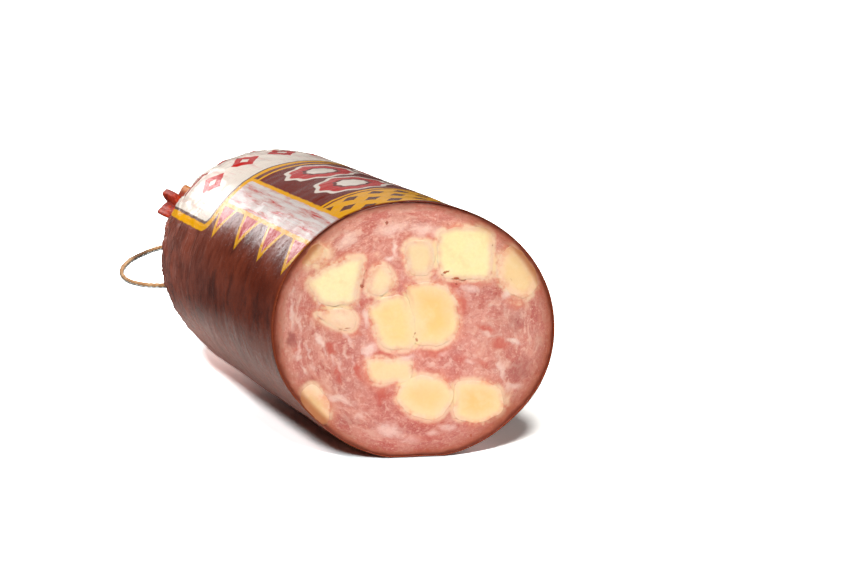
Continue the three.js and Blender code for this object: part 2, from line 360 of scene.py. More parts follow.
DOME_ROW = 92
NECK_ROW = 205
INNER_ROWS = 14
PROFILE_STEPS = 800
PLEAT_DEPTH = 0.11
LOBE_DEPTH = 0.42
DEEPER = 2.2 * MM


def smooth(low, high, value):
    t = np.clip((value - low) / (high - low), 0, 1)
    return t * t * (3 - 2 * t)


def cut_at(x, z):
    """How far along the axis the cut lies, at a point given from the axis."""
    return x * math.tan(CUT_YAW) + z * math.tan(CUT_LEAN)


def girth(along):
    """The share of the full round that is left at a distance along the axis."""
    dome = lambda at: (1 - ((at - DOME_START) / DOME_LENGTH) ** DOME_POWER) ** (1 / DOME_POWER)
    step = 0.01 * MM
    span = NECK_START - CONE_START
    start = dome(CONE_START)
    slope_in = (start - dome(CONE_START - step)) / step * span
    slope_out = NECK_SLOPE * span
    t = np.clip((along - CONE_START) / span, 0, 1)
    cone = ((2 * t**3 - 3 * t**2 + 1) * start + (t**3 - 2 * t**2 + t) * slope_in
            + (3 * t**2 - 2 * t**3) * NECK_RADIUS / HALF_HEIGHT + (t**3 - t**2) * slope_out)
    on_dome = dome(np.clip(along, DOME_START, CONE_START))
    return np.where(along <= CONE_START, on_dome, cone)


def crest(phase):
    """A wave with rounded crests and sharp valleys, as folds of film have, about its mean."""
    return 2 * np.abs(np.cos(phase / 2)) - 1.27


def noise_on(points, size, seed):
    """Smooth noise from about -1 to 1, whose lumps are as large as the size."""
    shift = Vector((seed * 13.7, seed * 5.1, seed * 9.3))
    return np.array([noise.noise(Vector((*p, 0)[:3]) / size + shift) for p in points])


def skin(angle, along, inset):
    """The casing's cross point at an angle round the axis and a distance along it."""
    degrees = np.degrees(angle) % 360
    swell = 1 + sum(by * np.exp(-(((degrees - at) / spread) ** 2)) for at, spread, by in BULGES)
    reach = np.where(np.sin(angle) > 0, HALF_HEIGHT, HALF_HEIGHT + SAG)
    share = girth(along)
    major = crest(PLEATS * angle + 0.9 * np.sin(2 * angle + 0.7) + 0.5 * np.sin(3 * angle) - math.pi / 2)
    major *= 0.75 + 0.25 * np.sin(3 * angle + 1.2)
    minor = crest(MINOR_FOLDS * angle + 1.4 * np.sin(2 * angle)) * (0.6 + 0.4 * np.sin(5 * angle + 2))
    fine = crest(FINE_FOLDS * angle + 2 * np.sin(3 * angle + 1)) * (0.5 + 0.5 * np.sin(4 * angle))
    gather = smooth(CONE_START - 14 * MM, NECK_START - 10 * MM, along)
    tight = smooth(NECK_START - 12 * MM, NECK_START, along)
    folds = 1 + major * (PLEAT_DEPTH * gather - 0.03 * tight) + (minor * 0.04 + fine * 0.018) * gather
    x = np.cos(angle) * (HALF_WIDTH * share - inset) * swell * folds
    z = np.sin(angle) * (reach * share - inset) * swell * folds
    z = np.maximum(z, -HALF_HEIGHT + inset)
    # behind the clip the bunched film opens into a few deep folds
    t = smooth(NECK_END, TAIL_START, along)
    lobes = np.sin(TAIL_FOLDS * angle + 0.5 + 0.25 * np.sin(angle)) * (0.8 + 0.2 * np.sin(2 * angle))
    creases = crest(TAIL_CREASES * angle + np.sin(2 * angle)) * 0.05 + major * 0.06 * (1 - t)
    tail = (NECK_RADIUS + (TAIL_RADIUS - NECK_RADIUS) * t - inset) * (1 + LOBE_DEPTH * t * lobes + creases)
    behind = smooth(NECK_START - 5 * MM, NECK_START, along)
    x = x * (1 - behind) + tail * np.cos(angle) * behind
    z = z * (1 - behind) + (tail * np.sin(angle) + TAIL_LIFT * t) * behind
    return x, z


# folds of the film on the shoulder, in millimetres from the ridge and the cut: start, end, height
FOLDS = [((-19, 106), (-9, 118), 0.45), ((-6, 121), (6, 112), 0.5), ((-30, 120), (-21, 122), 0.4),
         ((-40, 116), (-48, 103), 0.4), ((-60, 110), (-56, 122), 0.35), ((18, 108), (25, 118), 0.45),
         ((38, 104), (42, 116), 0.4), ((60, 104), (56, 116), 0.4)]


def beside_line(points, start, end):
    """How far points lie from a stretch of line, and how far to the right of it."""
    edge = np.subtract(end, start)
    from_start = points - start
    part = np.clip(from_start @ edge / (edge @ edge), 0, 1)
    away = np.hypot(*(from_start - part[:, None] * edge).T)
    return away, (from_start[:, 0] * edge[1] - from_start[:, 1] * edge[0]) / np.hypot(*edge)


def folded(x, along, z):
    """How far the film stands out along the folds, each a ridge with a valley beside it."""
    from_ridge = (math.pi / 2 - np.arctan2(z, x) + math.pi) % (2 * math.pi) - math.pi
    place = np.stack([from_ridge * HALF_HEIGHT / MM, along / MM], 1)
    place += noise_on(np.stack([x, along, z], 1), 6 * MM, 6)[:, None] * 0.8
    raised = np.zeros(len(place))
    for start, end, by in FOLDS:
        away, side = beside_line(place, start, end)
        raised += by * MM * smooth(5, 0.5, away) * np.sin(np.clip(side / 3, -1, 1) * math.pi)
    return raised


def lived_in(x, along, z):
    """The cross point moved in or out by dents, by ripples round the girth and by creases."""
    def lumps(size, seed, across=1, ahead=1):
        return noise_on(np.stack([x * across, along * ahead, z * across], 1), size * MM, seed)

    towards_clip = smooth(70 * MM, 125 * MM, along)
    dents = lumps(17, 1) * 0.28 * MM
    ripples = lumps(3.6, 2, 0.3) * 0.085 * MM + lumps(1.5, 3, 0.3) * 0.03 * MM
    creases = smooth(0.12, 0, np.abs(lumps(5.2, 4, 1, 0.35))) * 0.4 * MM * towards_clip
    creases -= smooth(0.07, 0, np.abs(lumps(7, 5, 0.7, 0.5))) * 0.3 * MM * smooth(62 * MM, 110 * MM, along)
    relief = dents + ripples * (1 + 1.4 * towards_clip) - creases + folded(x, along, z)
    relief *= 1 - smooth(NECK_START - 8 * MM, NECK_START, along)
    relief *= 0.35 + 0.65 * smooth(0, 6 * MM, along)
    grow = 1 + relief / np.maximum(np.hypot(x, z), 4 * MM)
    return x * grow, np.maximum(z * grow, -HALF_HEIGHT)


def open_edges(bm):
    return [edge for edge in bm.edges if edge.is_boundary]


film = bmesh.new()
bmesh.ops.create_grid(film, x_segments=CASING_ROUND, y_segments=CASING_ALONG + INNER_ROWS, size=0.5)
sheet = np.array([v.co for v in film.verts])
round_share = sheet[:, 0] + 0.5
row = (sheet[:, 1] + 0.5) * (CASING_ALONG + INNER_ROWS)
outer = row < CASING_ALONG + 0.5
end = CUT_TO_TAIL - LIP
along_outer = np.interp(row, [0, DOME_ROW, NECK_ROW, CASING_ALONG], [0, DOME_START, NECK_START, end])
along_inner = np.interp(row, [CASING_ALONG + 1, CASING_ALONG + 4, CASING_ALONG + INNER_ROWS],
                        [end, NECK_END, 0])
along = np.where(outer, along_outer, along_inner)
# behind the cut the inner wall lies deeper, clear of the folds and dents of the outer one
thicker = DEEPER * smooth(8 * MM, 30 * MM, along)
thicker *= smooth(NECK_START - 2 * MM, NECK_START - 20 * MM, along)
inset = np.where(outer, 0, FILM + thicker)
angle = (round_share * 2 - 0.5) * math.pi
x, z = skin(angle, along, inset)
x, z = lived_in(x, along, z)
z = np.maximum(z, -HALF_HEIGHT + inset)
ragged = LIP * np.sin(3 * angle + 0.5) * smooth(TAIL_START, end, along)
y = along + ragged + cut_at(x, z) * (1 - smooth(0, CUT_FADE, along))

profile_along = np.linspace(0, CUT_TO_TAIL, PROFILE_STEPS + 1)
profile = np.hypot(np.gradient(profile_along), np.gradient(girth(profile_along) * HALF_HEIGHT))
length_along = np.interp(y, profile_along, np.cumsum(profile) - profile[0])
length_along = np.where(y < 0, y, length_along)
# the print's own place: millimetres round the girth from the ridge, and along the skin from the
# cut. That of the inner wall lies beside the print, so that the wall is plain
print_map = film.loops.layers.uv.new("print")
for face in film.faces:
    for loop in face.loops:
        i = loop.vert.index
        beside = 0 if outer[i] else 3 * GIRTH_LENGTH
        loop[print_map].uv = ((0.5 - round_share[i]) * GIRTH_LENGTH + beside, length_along[i])
for vert, px, py, pz in zip(film.verts, x, y, z):
    vert.co = (px, cut_y + py, AXIS_HEIGHT + pz)
bmesh.ops.remove_doubles(film, verts=film.verts, dist=0.002 * MM)
bmesh.ops.bridge_loops(film, edges=open_edges(film))
bmesh.ops.recalc_face_normals(film, faces=film.faces)


larger, smaller, plus, times_plus = map(maths, ("MAXIMUM", "MINIMUM", "ADD", "MULTIPLY_ADD"))


def vector_node(operation, first, second=None, scale=None):
    inputs = {key: value for key, value in ((0, first), (1, second), ("Scale", scale)) if value is not None}
    return add_node("ShaderNodeVectorMath", inputs, operation=operation).outputs[0]


def wandered(place, scale, distance):
    """The place moved aside by soft noise, so that what follows it is drawn unevenly."""
    wander = add_node("ShaderNodeTexNoise", {"Vector": place, "Scale": scale, "Detail": 3.0})
    shift = vector_node("SUBTRACT", wander.outputs["Color"], (0.5, 0.5, 0.5))
    return vector_node("ADD", place, vector_node("SCALE", shift, scale=distance))


def round_of(first, second):
    """The distance from a point, from the two distances along the axes."""
    return maths("SQRT")(plus(times(first, first), times(second, second)))


def strip(value, centre, half):
    """How far a value lies outside a strip about its centre; negative inside."""
    return minus(size_of(minus(value, centre)), half)


def rounded_box(s, t, centre, half, corner):
    """The distance in millimetres from a box with round corners; negative inside."""
    over_s = strip(s, centre[0], half[0] - corner)
    over_t = strip(t, centre[1], half[1] - corner)
    outside = round_of(larger(over_s, 0.0), larger(over_t, 0.0))
    return minus(plus(outside, smaller(larger(over_s, over_t), 0.0)), corner)


def ink(distance, low, high, soft=0.22):
    """1 where a distance lies between two values, with edges as soft as print."""
    return times(ramp(distance, low - soft, low + soft), ramp(distance, high - soft, high + soft, 1.0, 0.0))


def repeat(value, pitch):
    """The value's distance from the nearest multiple of the pitch."""
    return maths("PINGPONG")(value, pitch / 2)


def painted(colour, *shapes):
    """The colour under shapes, each (distance outside it, its colour, width of its border)."""
    for distance, shade, border in shapes:
        colour = mix(ink(distance, -DEEPEST, border), colour, shade)
    return colour


# the print, in millimetres: DEEPEST is further inside than any of its shapes reaches
DEEPEST = 60
MIRROR = 8.0
ROSETTE_PITCH = 22
PETALS = 9.0
GEM_PITCH = 6.0
GEM_SPAN = 7.2
FLAG_PITCH = 18
PANEL_MIDDLE = 107
TAIL_INK = (150, 164)
INK_CREAM = (236, 222, 208)
INK_YELLOW = (238, 167, 4)
INK_RED = (192, 34, 30)
INK_WHITE = (220, 208, 202)
INK_ROSE = (214, 108, 100)
INK_DEEP = (116, 43, 33)

casing_material, tree, shader = new_material("printed_casing", IOR=1.35)
print_place = add_node("ShaderNodeUVMap", uv_map="print").outputs["UV"]
on_print = vector_node("SCALE", print_place, scale=1 / MM)
s, t, _ = axes(wandered(on_print, 0.35, 0.7))
plain_s, plain_t, _ = axes(on_print)
solid = object_place()
solid_x, solid_y, height = axes(solid)


def drawn_out(across, ahead, detail=3, roughness=0.5):
    """Noise on the print, drawn out by so much round the girth and along the sausage."""
    place = vector_node("MULTIPLY", on_print, (1 / across, 1 / ahead, 1))
    return noise_value(place, 1, detail, roughness)


# the smoked brown film: mottled, with streaks that run round the girth
mottle = noise_value(solid, 70, 4, 0.6)
streak = drawn_out(6, 2.6, 5, 0.62)
speck = noise_value(on_print, 2.2, 2)
colour = mix(ramp(mottle, 0.35, 0.65), (108, 47, 33), (140, 66, 46))
# the last tint is painted light: the film is paler and pinker low on the flank, where the white table below
# lights it
colour = tinted(colour, ((142, 70, 50), streak, 0.48, 0.75, 0.3), ((68, 26, 18), streak, 0.5, 0.25, 0.35),
                ((146, 72, 48), speck, 0.55, 0.8, 0.25), ((172, 100, 78), height, 34 * MM, 8 * MM, 0.62))
# painted sheen: further from the cut the film turns paler and mauve in streaks
further = times(ramp(solid_y, cut_y + 36 * MM, cut_y + 110 * MM), ramp(streak, 0.35, 0.65, 0.2, 0.65))
colour = mix(further, colour, (150, 96, 84))
colour = tinted(colour, ((66, 30, 24), drawn_out(12, 7, 3, 0.6), 0.5, 0.66, 0.5))
# pale streaks further from the cut: partly scuffs, partly painted sheen on the film's crinkles
scuff = times(ramp(drawn_out(8, 1.2), 0.56, 0.7, 0.0, 0.6), further)
bare_film = mix(scuff, colour, (214, 168, 154))
colour = bare_film

# the print is the same on both flanks, mirrored about a line just beside the ridge
across = minus(MIRROR, size_of(minus(s, MIRROR)))
strokes_round = drawn_out(16, 1.3, 4, 0.65)
strokes_ahead = drawn_out(1.5, 15, 4, 0.65)
brushed_red = tinted(INK_RED, (INK_ROSE, strokes_round, 0.5, 0.66, 0.65),
                     (INK_WHITE, strokes_round, 0.62, 0.74, 0.7))

# a brown field with scalloped rosettes of red and cream
field = rounded_box(across, t, (-4, 46), (17, 23), 4)
colour = painted(colour, (field, INK_YELLOW, 1.2), (field, INK_DEEP, 0))
petal_s = plus(across, 2.5)
petal_t = minus(maths("FLOORED_MODULO")(minus(t, 46.0), ROSETTE_PITCH), ROSETTE_PITCH / 2)
turn = times(maths("ARCTAN2")(petal_t, petal_s), PETALS)
scallop = times_plus(maths("COSINE")(turn), 0.055, 1.0)
rosette = times(round_of(petal_s, petal_t), scallop)
inside_field = plus(field, 1.6)
for reach, shade in ((10.2, INK_CREAM), (8.8, brushed_red), (5.2, INK_DEEP), (4.1, INK_CREAM)):
    colour = painted(colour, (larger(minus(rosette, reach), inside_field), shade, 0))

# a yellow band with brown lozenges near the cut
band = rounded_box(across, t, (-4, 12), (17, 9), 2.5)
row = maths("FLOOR")(times_plus(t, 1 / GEM_PITCH, 0.5))
gem_s = repeat(times_plus(row, GEM_SPAN / 2, minus(across, MIRROR)), GEM_SPAN)
gem = times_plus(repeat(t, GEM_PITCH), 1.15, gem_s)
gem = larger(minus(gem, 2.4), plus(band, 1.2))
colour = painted(colour, (band, INK_DEEP, 0.9), (band, INK_YELLOW, 0), (gem, (104, 52, 30), 0))

# along each flank a brushed pale band, from which a row of brushed red flags hangs
down = minus(-24.0, across)
flag = times_plus(repeat(minus(t, 14.0), FLAG_PITCH), 1.7, down)
flag = larger(times(minus(flag, 14.5), 0.5), times(down, -1.0))
flag = larger(flag, strip(t, 41, 35))
ribbon = rounded_box(across, t, (-22.6, 38), (4.6, 35), 1.5)
pale_band = mix(ramp(strokes_ahead, 0.4, 0.6), (206, 158, 150), INK_WHITE)
pale_band = tinted(pale_band, (INK_RED, strokes_ahead, 0.45, 0.32, 1))
colour = painted(colour, (flag, INK_YELLOW, 0), (flag, brushed_red, -1.4),
                 (ribbon, INK_YELLOW, 1.2), (ribbon, pale_band, 0))

# a cream panel over the shoulder with two rows of red lozenges and a line between them
panel = rounded_box(s, t, (MIRROR, PANEL_MIDDLE), (43, 31), 3)
colour = painted(colour, (panel, INK_YELLOW, 3.2), (panel, (110, 82, 74), 0.9), (panel, INK_CREAM, 0))
scuffed = times(ramp(strokes_ahead, 0.5, 0.64, 0, 0.5), ink(panel, -DEEPEST, -1))
colour = mix(scuffed, colour, (226, 170, 160))
inside_panel = plus(panel, 4.2)
from_row = size_of(strip(t, PANEL_MIDDLE, 14))
gem = times_plus(repeat(plus(s, 12.0), 11.6), 1.45, from_row)
for reach, shade in ((6.6, INK_RED), (2.2, INK_CREAM)):
    colour = painted(colour, (larger(minus(gem, reach), inside_panel), shade, 0))
colour = painted(colour, (larger(strip(t, PANEL_MIDDLE, 1.1), inside_panel), INK_RED, 0))

# worn ink, the warm edge along the cut, and the bunched tail of red film
worn = ramp(noise_value(on_print, 1.1, 5, 0.7), 0.56, 0.78, 0.0, 0.28)
colour = mix(worn, colour, bare_film)
# the warm edge is partly the film's own cut edge and partly painted light: lighter low down, where the edge
# is lit, and darker at the top
warm = mix(ramp(height, 48 * MM, 64 * MM), (132, 58, 34), (104, 36, 18))
from_cut = times_plus(height, -math.tan(CUT_LEAN), times_plus(solid_x, -math.tan(CUT_YAW), solid_y))
from_cut = minus(from_cut, cut_y - AXIS_HEIGHT * math.tan(CUT_LEAN))
tail_red = mix(ramp(streak, 0.35, 0.7), (136, 22, 0), (200, 58, 2))
tail_red = mix(ink(plain_s, 4, 34, 4), tail_red, (196, 112, 8))
colour = tinted(colour, (warm, from_cut, 1.4 * MM, 0.1 * MM, 0.85), (tail_red, plain_t, *TAIL_INK, 1))

grit = drawn_out(1.3, 0.9, 3, 0.6)
gloss = times_plus(minus(grit, 0.5), 0.1, ramp(drawn_out(9, 4), 0.3, 0.7, 0.15, 0.24))
gloss = larger(gloss, ramp(plain_t, *TAIL_INK, 0, 0.4))
tick = ramp(drawn_out(3.2, 0.35, 2), 0.66, 0.74)
pimple = ramp(drawn_out(1.1, 0.8, 2, 0.6), 0.56, 0.68)
wrinkle = bumps((streak, 0.05, 0.35), (drawn_out(2.6, 1.4, 3, 0.6), 0.16, 0.4), (tick, 0.03, 0.5),
                (grit, 0.1, 0.55), (pimple, 0.035, 0.7))
put_into(shader, {"Base Color": colour, "Roughness": gloss, "Normal": wrinkle})

casing = object_from("casing_skin", film, casing_material)
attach(casing, "root")
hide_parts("casing")

# ---------------------------------------------------------------- cheese outlines and meat
# The filling: cooked pink sausage meat of lean pieces, pale fat and fine sinew, with cubes
# of cheese set in it. The knife leaves it nearly flat, with small pits and pulled cracks.
MEAT_INSET = FILM + 0.05 * MM
MEAT_END = 146 * MM
MEAT_CELLS = 236
MEAT_RINGS = (4 * MM, 30 * MM, 92 * MM, 112 * MM, 126 * MM, 138 * MM, MEAT_END)
POCKET = 3 * MM
CRACK_DEPTH = 0.02 * MM
CORNER_ROUND = 2.3 * MM
OUTLINE_STEPS = 96
# the corners of each cube in the cut's plane, in millimetres right of the axis and above it
CUBES = {
    "cheese_top_right": [(7.3, 26.4), (20.4, 26.6), (20.4, 13.6), (8, 13.8), (6.4, 19.6)],
    "cheese_top_middle": [(-2.4, 22.4), (0.6, 23.6), (5.2, 22.9), (5.2, 18.6), (4, 14.8), (-0.4, 14.4)],
    "cheese_left": [(-13, 20.2), (-20.2, 18.4), (-27.6, 14), (-24.4, 7.8), (-15.6, 7.8)],
    "cheese_small": [(-10, 17.2), (-7.4, 17.2), (-4.6, 12.4), (-8, 9.9), (-12.5, 10.3)],
    "cheese_middle_left": [(-12.2, 6.3), (-8, 8.5), (-2.6, 9.8), (-0.2, 3.4), (-0.2, -4.5), (-8.4, -4.5)],
    "cheese_middle_right": [(-2.2, 11.6), (3, 12.7), (10, 10.4), (12, 0.8), (8.4, -3.9), (0.2, -3.7),
                            (0.2, 3)],
    "cheese_right_edge": [(26, 22.2), (29.4, 19), (31.4, 16), (32.7, 11.4), (29.6, 7.4), (25.2, 9.9),
                          (21.9, 14.6), (23, 18.6)],
    "cheese_left_slab": [(-26.2, 5.3), (-19.5, 6.2), (-15.4, 5.1), (-16.8, 0.3), (-20.5, 1.7)],
    "cheese_lower_small": [(-13, -7), (-6, -7.8), (-1, -8.2), (-1.8, -13.4), (-11.8, -13.4)],
    "cheese_bottom_middle": [(-5.4, -18.8), (-3.4, -13.6), (2, -12.4), (8.4, -13.6), (10, -18),
                             (5.4, -24.2), (0, -23)],
    "cheese_bottom_right": [(10.9, -14.2), (18.4, -14.3), (23.2, -17.4), (22.6, -23), (16, -25.4),
                            (10, -23.7)],
    "cheese_lower_left": [(-30, -14.8), (-27, -13.8), (-23.6, -17), (-22.9, -21.4), (-24.4, -25),
                          (-28, -21), (-30.2, -18)],
    "cheese_upper_left": [(-29.4, 18.6), (-25.4, 23.8), (-22.6, 21.8), (-23.8, 18.6)],
}


def cube_outline(corners, seed):
    """The rounded, slightly uneven outline of one cube in the cut, in metres, closed."""
    corners = [np.array(c) * MM for c in corners]
    rounded = []
    for before, corner, after in zip(corners[-1:] + corners, corners, corners[1:] + corners[:1]):
        start, end = (corner + side * min(CORNER_ROUND, 0.46 * np.hypot(*side)) / np.hypot(*side)
                      for side in (before - corner, after - corner))
        for k in np.linspace(0, 1, 8):
            rounded.append(start * (1 - k)**2 + corner * 2 * k * (1 - k) + end * k**2)
    loop = np.array(rounded + rounded[:1])
    far = np.concatenate([[0], np.cumsum(np.hypot(*np.diff(loop, axis=0).T))])
    even = np.linspace(0, far[-1], OUTLINE_STEPS + 1)
    loop = np.stack([np.interp(even, far, loop[:, i]) for i in (0, 1)], 1)
    middle = loop[:-1].mean(axis=0)
    outward = (loop - middle) / np.hypot(*(loop - middle).T)[:, None]
    uneven = noise_on(loop, 2.6 * MM, seed) * 0.5 * MM + noise_on(loop, MM, seed) * 0.2 * MM
    return loop + outward * (0.5 * MM + uneven)[:, None]


def outline_distance(points, loop):
    """How far each point lies outside the outline; negative inside."""
    starts, ends = loop[:-1], loop[1:]
    edge = ends - starts
    from_start = points[:, None] - starts
    share = np.clip((from_start * edge).sum(2) / (edge**2).sum(1), 0, 1)
    away = np.hypot(*np.moveaxis(from_start - share[..., None] * edge, 2, 0)).min(1)
    crosses = (starts[:, 1] > points[:, None, 1]) != (ends[:, 1] > points[:, None, 1])
    rise = np.where(edge[:, 1] == 0, 1e-12, edge[:, 1])
    reach = starts[:, 0] + (points[:, None, 1] - starts[:, 1]) / rise * edge[:, 0]
    inside = (crosses & (points[:, None, 0] < reach)).sum(1) % 2 == 1
    return np.where(inside, -away, away)


def square_to_disc(square):
    """Places of a square of half width 1 spread evenly over a disc of radius 1."""
    return np.stack([square[:, 0] * np.sqrt(1 - square[:, 1]**2 / 2),
                     square[:, 1] * np.sqrt(1 - square[:, 0]**2 / 2)], 1)


def store(mesh, **fields):
    """Numbers or triples kept on the mesh's points, for its material; later points get 0."""
    for name, values in fields.items():
        values = np.asarray(values, dtype=float)
        kind, part = ("FLOAT_VECTOR", "vector") if values.ndim == 2 else ("FLOAT", "value")
        padded = np.zeros((len(mesh.vertices), *values.shape[1:]))
        padded[:len(values)] = values
        mesh.attributes.new(name, kind, "POINT").data.foreach_set(part, padded.ravel())


def drawn_on(bm, edges):
    """New faces on the open edges: their own open edges and the points of these."""
    grown = bmesh.ops.extrude_edge_only(bm, edges=edges)["geom"]
    edges = [item for item in grown if isinstance(item, bmesh.types.BMEdge) and item.is_boundary]
    return edges, list({vert for edge in edges for vert in edge.verts})


def knife_swell(places):
    """How far the knife's broad waves stand out of the cut's plane."""
    return noise_on(places, 13 * MM, 31) * 0.3 * MM


def noise_pair(points, size, seed):
    return np.stack([noise_on(points, size, seed), noise_on(points, size, seed + 1)], 1)


outlines = {name: cube_outline(corners, seed) for seed, (name, corners) in enumerate(CUBES.items(), 11)}

meat = bmesh.new()
bmesh.ops.create_grid(meat, x_segments=MEAT_CELLS, y_segments=MEAT_CELLS, size=1)
disc = square_to_disc(np.array([v.co[:2] for v in meat.verts]))
share = np.hypot(*disc.T)
angle = np.arctan2(disc[:, 1], disc[:, 0])
rim_x, rim_z = skin(angle, angle * 0, MEAT_INSET)
rim_x, rim_z = lived_in(rim_x, angle * 0, rim_z)
x, z = rim_x * share, rim_z * share
face = np.stack([x / math.cos(CUT_YAW), z], 1)
from_rim = np.hypot(rim_x, rim_z) * (1 - share)
distances = np.array([outline_distance(face, loop) for loop in outlines.values()])
distances.sort(axis=0)
from_cube, from_second = distances[0], distances[1]

# the knife's face: broad swells, small lumps, a soft shoulder at the skin and at the cubes
lumps = noise_on(face, 2.4 * MM, 32) * 0.09 * MM + noise_on(face, 0.9 * MM, 33) * 0.05 * MM
proud = knife_swell(face) + lumps * smooth(0, 1.4 * MM, from_cube)
proud -= 0.14 * MM * smooth(1.2 * MM, 0, from_rim)
pocket = smooth(-0.5 * MM, -1.1 * MM, from_cube)
between = smooth(0.6 * MM, 0.2 * MM, from_second)
proud -= POCKET * np.maximum(pocket, between * 0.06)

# cracks where the knife pulled the meat from a cube, from (u, v) to (u, v), and their width
CRACKS = [
    ((-24.6, 8.1), (-19.3, 6.9), 0.3), ((-19.3, 6.9), (-18.7, 6.0), 0.4),
    ((-12.3, 16.6), (-13.7, 12.5), 0.34), ((8.2, 14.1), (13.2, 13.1), 0.34),
    ((-19.9, 1.1), (-17.4, 0.8), 0.26), ((10.7, -14.1), (18.2, -14.3), 0.28),
    ((10.4, -14.4), (10.6, -16.4), 0.3), ((10, -23.9), (14.6, -25.3), 0.26),
    ((-0.7, -10.2), (-1.9, -12.8), 0.26), ((-12.6, -13.2), (-9.6, -13.9), 0.26),
]
crack = np.zeros(len(face))
wobbled = face + noise_pair(face, 1.6 * MM, 41) * 0.35 * MM
for start, end, width in CRACKS:
    away, _ = beside_line(wobbled, np.array(start) * MM, np.array(end) * MM)
    crack = np.maximum(crack, smooth(width * 1.5 * MM, width * 0.4 * MM, away))
proud -= CRACK_DEPTH * crack

for vert, px, pz, height in zip(meat.verts, x, z, proud):
    vert.co = (px, cut_y + cut_at(px, pz) - height, AXIS_HEIGHT + pz)
back = open_edges(meat)
for depth in MEAT_RINGS:
    back, ring = drawn_on(meat, back)
    for vert in ring:
        around = np.array([math.atan2(vert.co.z - AXIS_HEIGHT, vert.co.x)])
        px, pz = skin(around, np.array([depth]), FILM + (3 if depth > 20 * MM else 0.75) * MM)
        fade = float(1 - smooth(0, CUT_FADE, depth))
        vert.co = (px[0], cut_y + depth + cut_at(px[0], pz[0]) * fade, AXIS_HEIGHT + pz[0])
bmesh.ops.holes_fill(meat, edges=back)
bmesh.ops.recalc_face_normals(meat, faces=meat.faces)

# patches in the cut's plane: (u, v, half length, half width, turn, strength), in millimetres and
# degrees. Fat, red and mauve lean, dark specks, and meat that the knife smeared with cheese
FAT = [(-12, -4.7, 1.9, 1.4, 60, 1), (-7.1, -26.7, 3.3, 1.6, -20, 1), (-20.2, -17.6, 3.2, 1, -22, 0.9),
       (-4.8, 21.9, 0.55, 1.9, 0, 1), (-6.2, 19.2, 0.9, 0.6, 0, 1), (-24.9, -1.9, 0.55, 2.1, 24, 1),
       (-12.8, 4, 0.6, 2.2, 0, 0.8), (8.1, -26.3, 2, 0.8, -15, 0.8), (3.9, -27.6, 1.2, 0.7, 0, 0.7),
       (15, 11, 2, 0.8, -12, 0.8), (-31.9, 5.2, 0.6, 3.4, 2, 0.75), (-30.5, -4.2, 0.5, 2.6, -2, 0.7),
       (-30.2, 2.6, 0.35, 2.2, 12, 0.6), (-30.4, -6.4, 1, 1, 0, 0.7), (24.5, 9, 1.2, 0.8, 30, 0.8),
       (26.3, -3.6, 1.8, 0.6, -20, 0.9), (23, -11.5, 0.7, 3, 12, 0.8), (26, -16, 1.9, 0.9, 0, 0.8),
       (-5, 27, 4, 1.4, 12, 0.7), (-17, 24.5, 2.6, 1.4, 38, 0.7), (3.4, 26.5, 3.4, 1.5, -6, 0.7),
       (-2.2, -7.3, 2, 0.7, 8, 0.8), (19.2, -1.4, 1.5, 0.5, -30, 0.6), (9.6, 25.6, 1.8, 0.6, 0, 0.5),
       (-20, -9, 0.5, 2, 8, 0.6), (-17.6, -2, 0.4, 1.8, 24, 0.7), (14.4, -8.6, 1.3, 0.5, -20, 0.6),
       (7.4, -6.4, 1.2, 0.6, 10, 0.5), (-2, -29.5, 2.4, 0.8, 4, 0.5), (-15, -22.5, 1.2, 0.8, 0, 0.6),
       (-28, -4.6, 0.35, 2.4, 10, 0.6), (-31.4, 11.5, 0.6, 1.2, 0, 0.5), (-23.8, -4.8, 0.3, 1.4, 10, 0.5),
       (-26.9, -9, 0.8, 0.8, 0, 0.4), (-21.6, -7, 0.3, 1.6, 20, 0.5), (-18.4, -5.8, 0.3, 1.7, 12, 0.5),
       (-16.2, -7.6, 0.3, 1.5, 18, 0.5), (-29.4, -9.4, 0.4, 1.3, 24, 0.7), (-25.2, 8.4, 0.3, 1, 0, 0.6)]
RED = [(9.1, 12.3, 2.6, 0.9, -12, 1), (12.8, 7, 1.2, 2.2, 10, 0.9), (18.4, 0.2, 2.2, 0.8, -22, 1),
       (22.5, -4.5, 2, 1.6, 0, 0.9), (5.6, -5.9, 3, 1.3, 0, 0.8), (-7.2, -6.2, 2.6, 0.7, -22, 1),
       (-9.1, -17.2, 1.8, 1.7, 0, 1), (-20.2, -10.8, 0.8, 2.6, 0, 1), (-15.2, -10.3, 0.8, 2.2, 12, 1),
       (27, 6, 2, 1.3, 20, 0.7), (19.6, 27.6, 1.3, 0.7, -28, 1), (-22.4, -4, 1.6, 1, -40, 0.9),
       (-14.6, 13, 0.8, 2.4, 20, 0.9), (-22, 16.6, 4.6, 1, 34, 0.7), (-9, 9, 4, 0.8, 8, 0.7),
       (5.4, 25, 1.8, 1, -10, 0.7), (3, -29, 5, 0.8, 4, 0.5),
       (-3.2, -15.6, 1.2, 1, 0, 0.7), (24, -19, 0.9, 2.6, -20, 0.6), (-30.6, -4, 1, 1.8, 0, 0.6),
       (18, -9.5, 2.4, 0.9, -30, 0.7), (-16, 0, 2.4, 0.8, -14, 0.6), (12, -8, 2, 1.2, 0, 0.5)]
MAUVE = [(-32.5, -1.3, 1, 2, 4, 1), (28, -11.4, 2.4, 3.4, -20, 0.75), (-27.6, -12.6, 2.4, 1.3, -20, 0.5),
         (27, 1, 1.6, 2.2, 0, 0.5), (22.4, -19.5, 1.8, 1.2, 30, 0.5), (-17.6, -23.6, 2.2, 1.2, -10, 0.4)]
